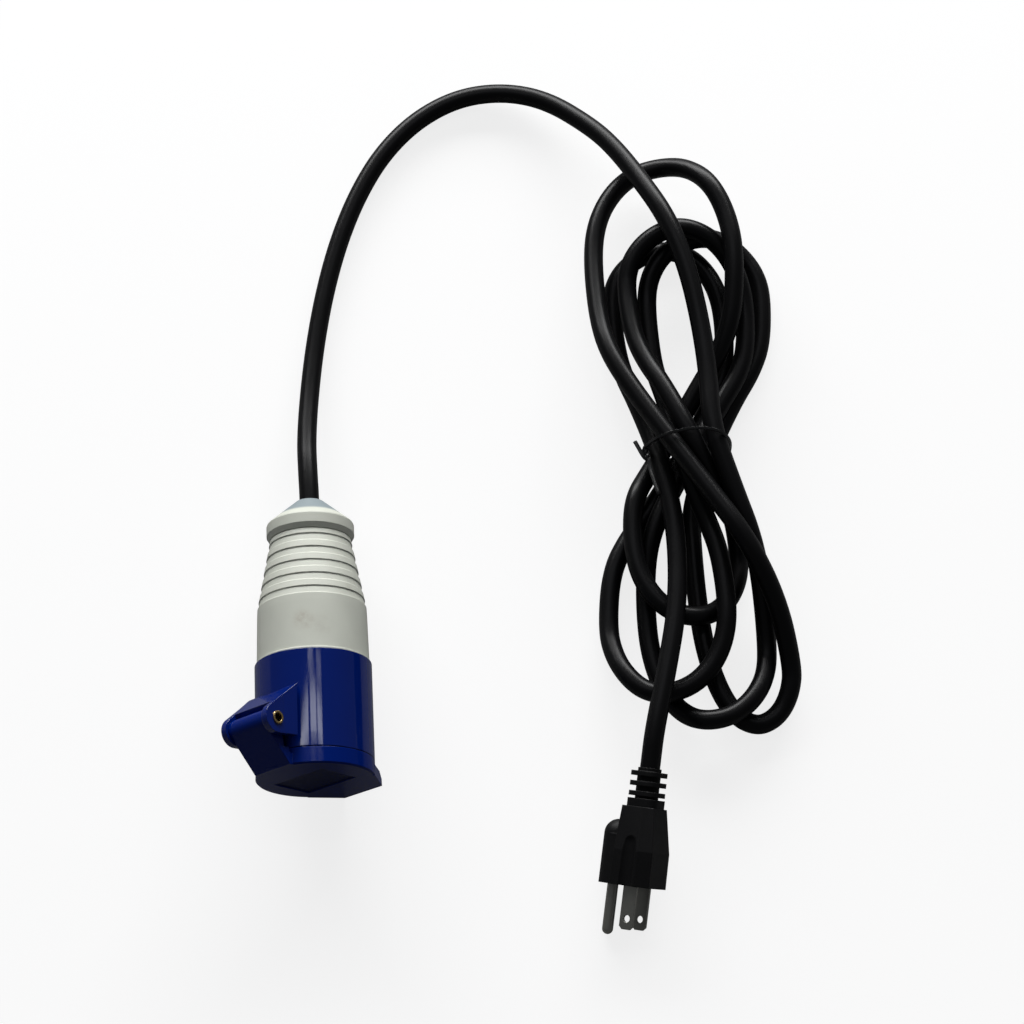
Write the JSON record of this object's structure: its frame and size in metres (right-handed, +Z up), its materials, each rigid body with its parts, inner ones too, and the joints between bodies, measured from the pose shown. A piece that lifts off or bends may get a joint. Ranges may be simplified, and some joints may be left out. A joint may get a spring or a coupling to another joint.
{
  "type": "shore power cord",
  "caption": "Coiled shore power adaptor lead with a round lidded three-contact coupler at one end and a flat-blade household plug at the other.",
  "frame": {"origin": "middle of the coupler's footprint, on the surface that it lies on", "axes": "+Z up from the surface, -Y along the coupler from its cord end towards its lid, +X towards the coiled cord"},
  "size_m": [0.2564, 0.4077, 0.0672],
  "materials": {
    "shell_blue": "gloss",
    "grip_grey": "satin",
    "inner_plastic": "satin",
    "seal_rubber": "matte",
    "brass": "satin",
    "spring_steel": "satin",
    "core_brown": "satin",
    "core_blue": "satin",
    "core_green_yellow": "satin",
    "cord_jacket": "satin",
    "tie_black": "satin",
    "plug_black": "satin",
    "plated_metal": "dull"
  },
  "bodies": {
    "coupler": {"clamp_nut": "grip_grey", "clamp_jaws": "inner_plastic", "cable_grommet": "seal_rubber", "grip_body": "grip_grey", "body_seal": "seal_rubber", "front_housing": "shell_blue", "hinge_pin": "brass", "lid_spring": "spring_steel", "contact_carrier": "inner_plastic", "contact_line": "brass", "contact_neutral": "brass", "contact_earth": "brass", "terminal_screws": "spring_steel", "carrier_screws": "spring_steel", "core_line": "core_brown", "core_neutral": "core_blue", "core_earth": "core_green_yellow", "cord_lead": "cord_jacket", "cord_hank": "cord_jacket", "cord_tail": "cord_jacket", "twist_tie": "tie_black", "plug_relief": "plug_black", "plug_body": "plug_black", "plug_bridge": "inner_plastic", "blade_line": "plated_metal", "blade_neutral": "plated_metal", "ground_pin": "plated_metal", "plug_core_line": "core_brown", "plug_core_neutral": "core_blue", "plug_core_earth": "core_green_yellow"},
    "lid_body": {"lid": "shell_blue", "lid_gasket": "seal_rubber"}
  },
  "joints": [
    {"name": "lid_hinge", "type": "hinge", "parent": "coupler", "child": "lid_body", "pos_m": [-0.01844, -0.04411, 0.05269], "axis": [-0.7256, -0.0356, -0.6872], "range_deg": [0, 105], "stiffness_Nm_per_rad": 0.06, "springref_deg": -114.59}
  ]
}
